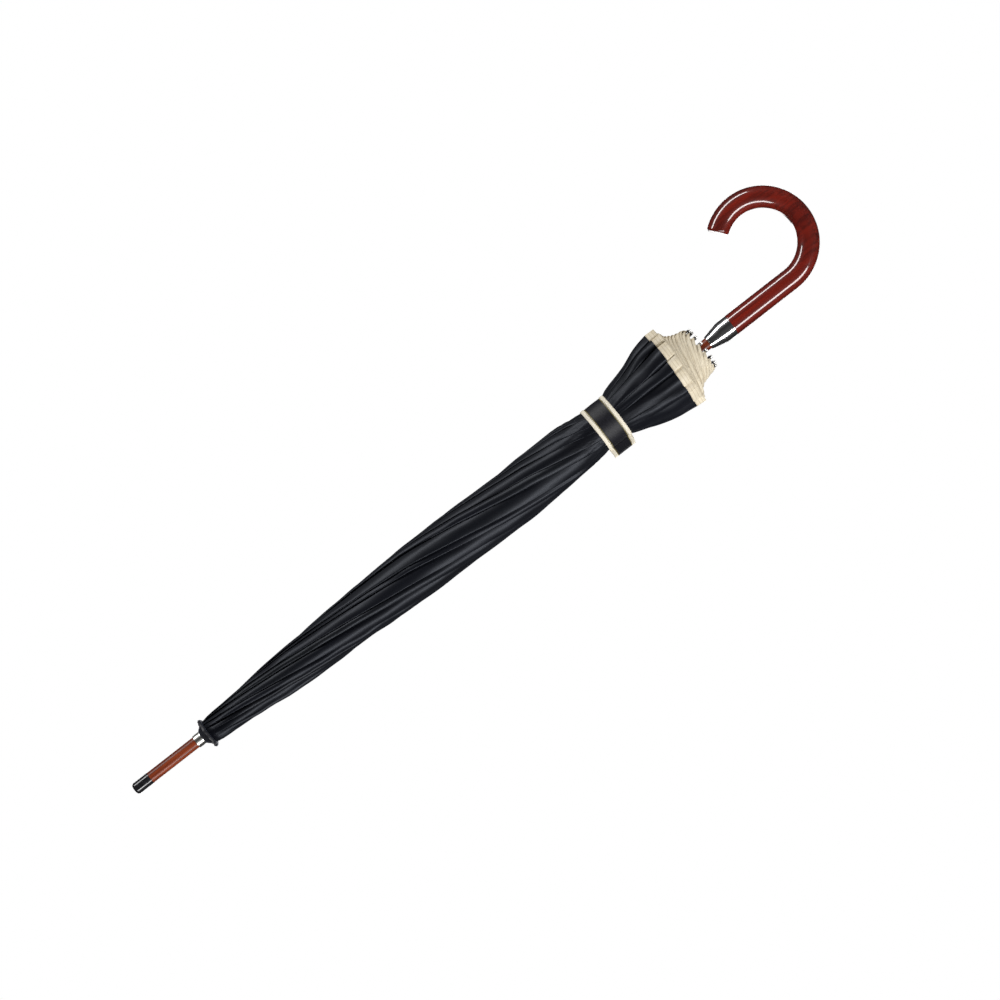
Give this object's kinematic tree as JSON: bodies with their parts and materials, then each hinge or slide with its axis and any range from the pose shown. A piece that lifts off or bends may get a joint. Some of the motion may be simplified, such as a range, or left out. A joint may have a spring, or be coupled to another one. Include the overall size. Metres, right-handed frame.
{
  "type": "stick umbrella",
  "caption": "Long stick umbrella with a crook handle, rolled and strapped; the runner slides up the stick to spread the ribs and cloth.",
  "frame": {"origin": "middle of the straight grip, on the stick's axis", "axes": "+Z along the stick to the tip, +X the way the crook turns, +Y completes the right hand"},
  "size_m": [0.1473, 0.088, 0.8888],
  "materials": {
    "handle_lacquer": "dark mahogany under a glossy clear lacquer",
    "collar_chrome": "polished chrome plate",
    "stick_wood": "red-brown wood, lacquered",
    "cap_black": "glossy black",
    "ring_silver": "bright satin silver",
    "rosette_cloth": "black woven cloth, gathered",
    "notch_plastic": "moulded black, slightly worn",
    "catch_steel": "plain spring steel",
    "strap_satin": "black satin with cream piping",
    "rib_steel": "nickel-plated steel strip",
    "canopy_cloth": "black satin-weave cloth with a cream hem band"
  },
  "bodies": {
    "stick": {"handle_crook": "handle_lacquer", "handle_collar": "collar_chrome", "shaft": "stick_wood", "ferrule_cap": "cap_black", "ferrule_ring": "ring_silver", "rosette": "rosette_cloth", "crown": "notch_plastic"},
    "rib_01": {"rib_01": "rib_steel"},
    "stretcher_01": {"stretcher_01": "rib_steel"},
    "panel_01": {"canopy_panel_01": "canopy_cloth"},
    "rib_02": {"rib_02": "rib_steel"},
    "stretcher_02": {"stretcher_02": "rib_steel"},
    "panel_02": {"canopy_panel_02": "canopy_cloth"},
    "rib_03": {"rib_03": "rib_steel"},
    "stretcher_03": {"stretcher_03": "rib_steel"},
    "panel_03": {"canopy_panel_03": "canopy_cloth"},
    "rib_04": {"rib_04": "rib_steel"},
    "stretcher_04": {"stretcher_04": "rib_steel"},
    "panel_04": {"canopy_panel_04": "canopy_cloth"},
    "rib_05": {"rib_05": "rib_steel"},
    "stretcher_05": {"stretcher_05": "rib_steel"},
    "panel_05": {"canopy_panel_05": "canopy_cloth"},
    "rib_06": {"rib_06": "rib_steel"},
    "stretcher_06": {"stretcher_06": "rib_steel"},
    "panel_06": {"canopy_panel_06": "canopy_cloth"},
    "rib_07": {"rib_07": "rib_steel"},
    "stretcher_07": {"stretcher_07": "rib_steel"},
    "panel_07": {"canopy_panel_07": "canopy_cloth"},
    "rib_08": {"rib_08": "rib_steel"},
    "stretcher_08": {"stretcher_08": "rib_steel"},
    "panel_08": {"canopy_panel_08": "canopy_cloth", "tie_strap": "strap_satin"},
    "rib_09": {"rib_09": "rib_steel"},
    "stretcher_09": {"stretcher_09": "rib_steel"},
    "panel_09": {"canopy_panel_09": "canopy_cloth"},
    "rib_10": {"rib_10": "rib_steel"},
    "stretcher_10": {"stretcher_10": "rib_steel"},
    "panel_10": {"canopy_panel_10": "canopy_cloth"},
    "rib_11": {"rib_11": "rib_steel"},
    "stretcher_11": {"stretcher_11": "rib_steel"},
    "panel_11": {"canopy_panel_11": "canopy_cloth"},
    "rib_12": {"rib_12": "rib_steel"},
    "stretcher_12": {"stretcher_12": "rib_steel"},
    "panel_12": {"canopy_panel_12": "canopy_cloth"},
    "rib_13": {"rib_13": "rib_steel"},
    "stretcher_13": {"stretcher_13": "rib_steel"},
    "panel_13": {"canopy_panel_13": "canopy_cloth"},
    "rib_14": {"rib_14": "rib_steel"},
    "stretcher_14": {"stretcher_14": "rib_steel"},
    "panel_14": {"canopy_panel_14": "canopy_cloth"},
    "rib_15": {"rib_15": "rib_steel"},
    "stretcher_15": {"stretcher_15": "rib_steel"},
    "panel_15": {"canopy_panel_15": "canopy_cloth"},
    "rib_16": {"rib_16": "rib_steel"},
    "stretcher_16": {"stretcher_16": "rib_steel"},
    "panel_16": {"canopy_panel_16": "canopy_cloth"},
    "runner": {"runner": "notch_plastic"},
    "bottom_catch": {"bottom_catch": "catch_steel"},
    "top_catch": {"top_catch": "catch_steel"},
    "strap_tab": {"strap_tab": "strap_satin"}
  },
  "joints": [
    {"name": "opening", "type": "hinge", "parent": "stick", "child": "rib_01", "pos_m": [0.00843, 0.00168, 0.696], "axis": [0.1951, -0.9808, 0], "range_deg": [0, 61.8], "deforming": ["tie_strap"]},
    {"name": "stretcher_01_fold", "type": "hinge", "parent": "rib_01", "child": "stretcher_01", "pos_m": [0.01419, 0.00282, 0.41606], "axis": [-0.1951, 0.9808, 0], "range_deg": [0, 123.6]},
    {"name": "panel_01_spread", "type": "hinge", "parent": "rib_01", "child": "panel_01", "pos_m": [0.0081, 0.00336, 0.696], "axis": [0.7968, 0.33, -0.5062], "range_deg": [0, 23]},
    {"name": "rib_02_swing", "type": "hinge", "parent": "stick", "child": "rib_02", "pos_m": [0.00715, 0.00478, 0.696], "axis": [0.5556, -0.8315, 0], "range_deg": [0, 61.8]},
    {"name": "stretcher_02_fold", "type": "hinge", "parent": "rib_02", "child": "stretcher_02", "pos_m": [0.01203, 0.00804, 0.41606], "axis": [-0.5556, 0.8315, 0], "range_deg": [0, 123.6]},
    {"name": "panel_02_spread", "type": "hinge", "parent": "rib_02", "child": "panel_02", "pos_m": [0.0062, 0.0062, 0.696], "axis": [0.6098, 0.6098, -0.5062], "range_deg": [0, 23]},
    {"name": "rib_03_swing", "type": "hinge", "parent": "stick", "child": "rib_03", "pos_m": [0.00478, 0.00715, 0.696], "axis": [0.8315, -0.5556, 0], "range_deg": [0, 61.8]},
    {"name": "stretcher_03_fold", "type": "hinge", "parent": "rib_03", "child": "stretcher_03", "pos_m": [0.00804, 0.01203, 0.41606], "axis": [-0.8315, 0.5556, 0], "range_deg": [0, 123.6]},
    {"name": "panel_03_spread", "type": "hinge", "parent": "rib_03", "child": "panel_03", "pos_m": [0.00336, 0.0081, 0.696], "axis": [0.33, 0.7968, -0.5062], "range_deg": [0, 23]},
    {"name": "rib_04_swing", "type": "hinge", "parent": "stick", "child": "rib_04", "pos_m": [0.00168, 0.00843, 0.696], "axis": [0.9808, -0.1951, 0], "range_deg": [0, 61.8]},
    {"name": "stretcher_04_fold", "type": "hinge", "parent": "rib_04", "child": "stretcher_04", "pos_m": [0.00282, 0.01419, 0.41606], "axis": [-0.9808, 0.1951, 0], "range_deg": [0, 123.6]},
    {"name": "panel_04_spread", "type": "hinge", "parent": "rib_04", "child": "panel_04", "pos_m": [0, 0.00877, 0.696], "axis": [0, 0.8624, -0.5062], "range_deg": [0, 23]},
    {"name": "rib_05_swing", "type": "hinge", "parent": "stick", "child": "rib_05", "pos_m": [-0.00168, 0.00843, 0.696], "axis": [0.9808, 0.1951, 0], "range_deg": [0, 61.8]},
    {"name": "stretcher_05_fold", "type": "hinge", "parent": "rib_05", "child": "stretcher_05", "pos_m": [-0.00282, 0.01419, 0.41606], "axis": [-0.9808, -0.1951, 0], "range_deg": [0, 123.6]},
    {"name": "panel_05_spread", "type": "hinge", "parent": "rib_05", "child": "panel_05", "pos_m": [-0.00336, 0.0081, 0.696], "axis": [-0.33, 0.7968, -0.5062], "range_deg": [0, 23]},
    {"name": "rib_06_swing", "type": "hinge", "parent": "stick", "child": "rib_06", "pos_m": [-0.00478, 0.00715, 0.696], "axis": [0.8315, 0.5556, 0], "range_deg": [0, 61.8]},
    {"name": "stretcher_06_fold", "type": "hinge", "parent": "rib_06", "child": "stretcher_06", "pos_m": [-0.00804, 0.01203, 0.41606], "axis": [-0.8315, -0.5556, 0], "range_deg": [0, 123.6]},
    {"name": "panel_06_spread", "type": "hinge", "parent": "rib_06", "child": "panel_06", "pos_m": [-0.0062, 0.0062, 0.696], "axis": [-0.6098, 0.6098, -0.5062], "range_deg": [0, 23]},
    {"name": "rib_07_swing", "type": "hinge", "parent": "stick", "child": "rib_07", "pos_m": [-0.00715, 0.00478, 0.696], "axis": [0.5556, 0.8315, 0], "range_deg": [0, 61.8]},
    {"name": "stretcher_07_fold", "type": "hinge", "parent": "rib_07", "child": "stretcher_07", "pos_m": [-0.01203, 0.00804, 0.41606], "axis": [-0.5556, -0.8315, 0], "range_deg": [0, 123.6]},
    {"name": "panel_07_spread", "type": "hinge", "parent": "rib_07", "child": "panel_07", "pos_m": [-0.0081, 0.00336, 0.696], "axis": [-0.7968, 0.33, -0.5062], "range_deg": [0, 23]},
    {"name": "rib_08_swing", "type": "hinge", "parent": "stick", "child": "rib_08", "pos_m": [-0.00843, 0.00168, 0.696], "axis": [0.1951, 0.9808, 0], "range_deg": [0, 61.8]},
    {"name": "stretcher_08_fold", "type": "hinge", "parent": "rib_08", "child": "stretcher_08", "pos_m": [-0.01419, 0.00282, 0.41606], "axis": [-0.1951, -0.9808, 0], "range_deg": [0, 123.6]},
    {"name": "panel_08_spread", "type": "hinge", "parent": "rib_08", "child": "panel_08", "pos_m": [-0.00877, 0, 0.696], "axis": [-0.8624, 0, -0.5062], "range_deg": [0, 23]},
    {"name": "rib_09_swing", "type": "hinge", "parent": "stick", "child": "rib_09", "pos_m": [-0.00843, -0.00168, 0.696], "axis": [-0.1951, 0.9808, 0], "range_deg": [0, 61.8]},
    {"name": "stretcher_09_fold", "type": "hinge", "parent": "rib_09", "child": "stretcher_09", "pos_m": [-0.01419, -0.00282, 0.41606], "axis": [0.1951, -0.9808, 0], "range_deg": [0, 123.6]},
    {"name": "panel_09_spread", "type": "hinge", "parent": "rib_09", "child": "panel_09", "pos_m": [-0.0081, -0.00336, 0.696], "axis": [-0.7968, -0.33, -0.5062], "range_deg": [0, 23]},
    {"name": "rib_10_swing", "type": "hinge", "parent": "stick", "child": "rib_10", "pos_m": [-0.00715, -0.00478, 0.696], "axis": [-0.5556, 0.8315, 0], "range_deg": [0, 61.8]},
    {"name": "stretcher_10_fold", "type": "hinge", "parent": "rib_10", "child": "stretcher_10", "pos_m": [-0.01203, -0.00804, 0.41606], "axis": [0.5556, -0.8315, 0], "range_deg": [0, 123.6]},
    {"name": "panel_10_spread", "type": "hinge", "parent": "rib_10", "child": "panel_10", "pos_m": [-0.0062, -0.0062, 0.696], "axis": [-0.6098, -0.6098, -0.5062], "range_deg": [0, 23]},
    {"name": "rib_11_swing", "type": "hinge", "parent": "stick", "child": "rib_11", "pos_m": [-0.00478, -0.00715, 0.696], "axis": [-0.8315, 0.5556, 0], "range_deg": [0, 61.8]},
    {"name": "stretcher_11_fold", "type": "hinge", "parent": "rib_11", "child": "stretcher_11", "pos_m": [-0.00804, -0.01203, 0.41606], "axis": [0.8315, -0.5556, 0], "range_deg": [0, 123.6]},
    {"name": "panel_11_spread", "type": "hinge", "parent": "rib_11", "child": "panel_11", "pos_m": [-0.00336, -0.0081, 0.696], "axis": [-0.33, -0.7968, -0.5062], "range_deg": [0, 23]},
    {"name": "rib_12_swing", "type": "hinge", "parent": "stick", "child": "rib_12", "pos_m": [-0.00168, -0.00843, 0.696], "axis": [-0.9808, 0.1951, 0], "range_deg": [0, 61.8]},
    {"name": "stretcher_12_fold", "type": "hinge", "parent": "rib_12", "child": "stretcher_12", "pos_m": [-0.00282, -0.01419, 0.41606], "axis": [0.9808, -0.1951, 0], "range_deg": [0, 123.6]},
    {"name": "panel_12_spread", "type": "hinge", "parent": "rib_12", "child": "panel_12", "pos_m": [0, -0.00877, 0.696], "axis": [0, -0.8624, -0.5062], "range_deg": [0, 23]},
    {"name": "rib_13_swing", "type": "hinge", "parent": "stick", "child": "rib_13", "pos_m": [0.00168, -0.00843, 0.696], "axis": [-0.9808, -0.1951, 0], "range_deg": [0, 61.8]},
    {"name": "stretcher_13_fold", "type": "hinge", "parent": "rib_13", "child": "stretcher_13", "pos_m": [0.00282, -0.01419, 0.41606], "axis": [0.9808, 0.1951, 0], "range_deg": [0, 123.6]},
    {"name": "panel_13_spread", "type": "hinge", "parent": "rib_13", "child": "panel_13", "pos_m": [0.00336, -0.0081, 0.696], "axis": [0.33, -0.7968, -0.5062], "range_deg": [0, 23]},
    {"name": "rib_14_swing", "type": "hinge", "parent": "stick", "child": "rib_14", "pos_m": [0.00478, -0.00715, 0.696], "axis": [-0.8315, -0.5556, 0], "range_deg": [0, 61.8]},
    {"name": "stretcher_14_fold", "type": "hinge", "parent": "rib_14", "child": "stretcher_14", "pos_m": [0.00804, -0.01203, 0.41606], "axis": [0.8315, 0.5556, 0], "range_deg": [0, 123.6]},
    {"name": "panel_14_spread", "type": "hinge", "parent": "rib_14", "child": "panel_14", "pos_m": [0.0062, -0.0062, 0.696], "axis": [0.6098, -0.6098, -0.5062], "range_deg": [0, 23]},
    {"name": "rib_15_swing", "type": "hinge", "parent": "stick", "child": "rib_15", "pos_m": [0.00715, -0.00478, 0.696], "axis": [-0.5556, -0.8315, 0], "range_deg": [0, 61.8]},
    {"name": "stretcher_15_fold", "type": "hinge", "parent": "rib_15", "child": "stretcher_15", "pos_m": [0.01203, -0.00804, 0.41606], "axis": [0.5556, 0.8315, 0], "range_deg": [0, 123.6]},
    {"name": "panel_15_spread", "type": "hinge", "parent": "rib_15", "child": "panel_15", "pos_m": [0.0081, -0.00336, 0.696], "axis": [0.7968, -0.33, -0.5062], "range_deg": [0, 23]},
    {"name": "rib_16_swing", "type": "hinge", "parent": "stick", "child": "rib_16", "pos_m": [0.00843, -0.00168, 0.696], "axis": [-0.1951, -0.9808, 0], "range_deg": [0, 61.8]},
    {"name": "stretcher_16_fold", "type": "hinge", "parent": "rib_16", "child": "stretcher_16", "pos_m": [0.01419, -0.00282, 0.41606], "axis": [0.1951, 0.9808, 0], "range_deg": [0, 123.6]},
    {"name": "panel_16_spread", "type": "hinge", "parent": "rib_16", "child": "panel_16", "pos_m": [0.00877, 0, 0.696], "axis": [0.8624, 0, -0.5062], "range_deg": [0, 23]},
    {"name": "runner_slide", "type": "hinge", "parent": "stretcher_01", "child": "runner", "pos_m": [0.00843, 0.00168, 0.13612], "axis": [0.1951, -0.9808, 0], "range_deg": [0, 61.8]},
    {"name": "bottom_catch_press", "type": "slide", "parent": "stick", "child": "bottom_catch", "axis": [-1, 0, 0], "range_m": [0, 0.0019], "stiffness_N_per_m": 1200, "springref_m": -0.001},
    {"name": "top_catch_press", "type": "slide", "parent": "stick", "child": "top_catch", "axis": [-1, 0, 0], "range_m": [0, 0.0019], "stiffness_N_per_m": 1200, "springref_m": -0.001},
    {"name": "strap_tab_peel", "type": "hinge", "parent": "panel_08", "child": "strap_tab", "pos_m": [-0.0256, 0, 0.197], "axis": [0, 0, 1], "range_deg": [-50, 50]}
  ],
  "couplings": [
    {"joint": "stretcher_01_fold", "follows": "opening", "ratio": 2},
    {"joint": "panel_01_spread", "follows": "opening", "ratio": 0.37216},
    {"joint": "rib_02_swing", "follows": "opening", "ratio": 1},
    {"joint": "stretcher_02_fold", "follows": "opening", "ratio": 2},
    {"joint": "panel_02_spread", "follows": "opening", "ratio": 0.37216},
    {"joint": "rib_03_swing", "follows": "opening", "ratio": 1},
    {"joint": "stretcher_03_fold", "follows": "opening", "ratio": 2},
    {"joint": "panel_03_spread", "follows": "opening", "ratio": 0.37216},
    {"joint": "rib_04_swing", "follows": "opening", "ratio": 1},
    {"joint": "stretcher_04_fold", "follows": "opening", "ratio": 2},
    {"joint": "panel_04_spread", "follows": "opening", "ratio": 0.37216},
    {"joint": "rib_05_swing", "follows": "opening", "ratio": 1},
    {"joint": "stretcher_05_fold", "follows": "opening", "ratio": 2},
    {"joint": "panel_05_spread", "follows": "opening", "ratio": 0.37216},
    {"joint": "rib_06_swing", "follows": "opening", "ratio": 1},
    {"joint": "stretcher_06_fold", "follows": "opening", "ratio": 2},
    {"joint": "panel_06_spread", "follows": "opening", "ratio": 0.37216},
    {"joint": "rib_07_swing", "follows": "opening", "ratio": 1},
    {"joint": "stretcher_07_fold", "follows": "opening", "ratio": 2},
    {"joint": "panel_07_spread", "follows": "opening", "ratio": 0.37216},
    {"joint": "rib_08_swing", "follows": "opening", "ratio": 1},
    {"joint": "stretcher_08_fold", "follows": "opening", "ratio": 2},
    {"joint": "panel_08_spread", "follows": "opening", "ratio": 0.37216},
    {"joint": "rib_09_swing", "follows": "opening", "ratio": 1},
    {"joint": "stretcher_09_fold", "follows": "opening", "ratio": 2},
    {"joint": "panel_09_spread", "follows": "opening", "ratio": 0.37216},
    {"joint": "rib_10_swing", "follows": "opening", "ratio": 1},
    {"joint": "stretcher_10_fold", "follows": "opening", "ratio": 2},
    {"joint": "panel_10_spread", "follows": "opening", "ratio": 0.37216},
    {"joint": "rib_11_swing", "follows": "opening", "ratio": 1},
    {"joint": "stretcher_11_fold", "follows": "opening", "ratio": 2},
    {"joint": "panel_11_spread", "follows": "opening", "ratio": 0.37216},
    {"joint": "rib_12_swing", "follows": "opening", "ratio": 1},
    {"joint": "stretcher_12_fold", "follows": "opening", "ratio": 2},
    {"joint": "panel_12_spread", "follows": "opening", "ratio": 0.37216},
    {"joint": "rib_13_swing", "follows": "opening", "ratio": 1},
    {"joint": "stretcher_13_fold", "follows": "opening", "ratio": 2},
    {"joint": "panel_13_spread", "follows": "opening", "ratio": 0.37216},
    {"joint": "rib_14_swing", "follows": "opening", "ratio": 1},
    {"joint": "stretcher_14_fold", "follows": "opening", "ratio": 2},
    {"joint": "panel_14_spread", "follows": "opening", "ratio": 0.37216},
    {"joint": "rib_15_swing", "follows": "opening", "ratio": 1},
    {"joint": "stretcher_15_fold", "follows": "opening", "ratio": 2},
    {"joint": "panel_15_spread", "follows": "opening", "ratio": 0.37216},
    {"joint": "rib_16_swing", "follows": "opening", "ratio": 1},
    {"joint": "stretcher_16_fold", "follows": "opening", "ratio": 2},
    {"joint": "panel_16_spread", "follows": "opening", "ratio": 0.37216},
    {"joint": "runner_slide", "follows": "opening", "ratio": 1}
  ]
}
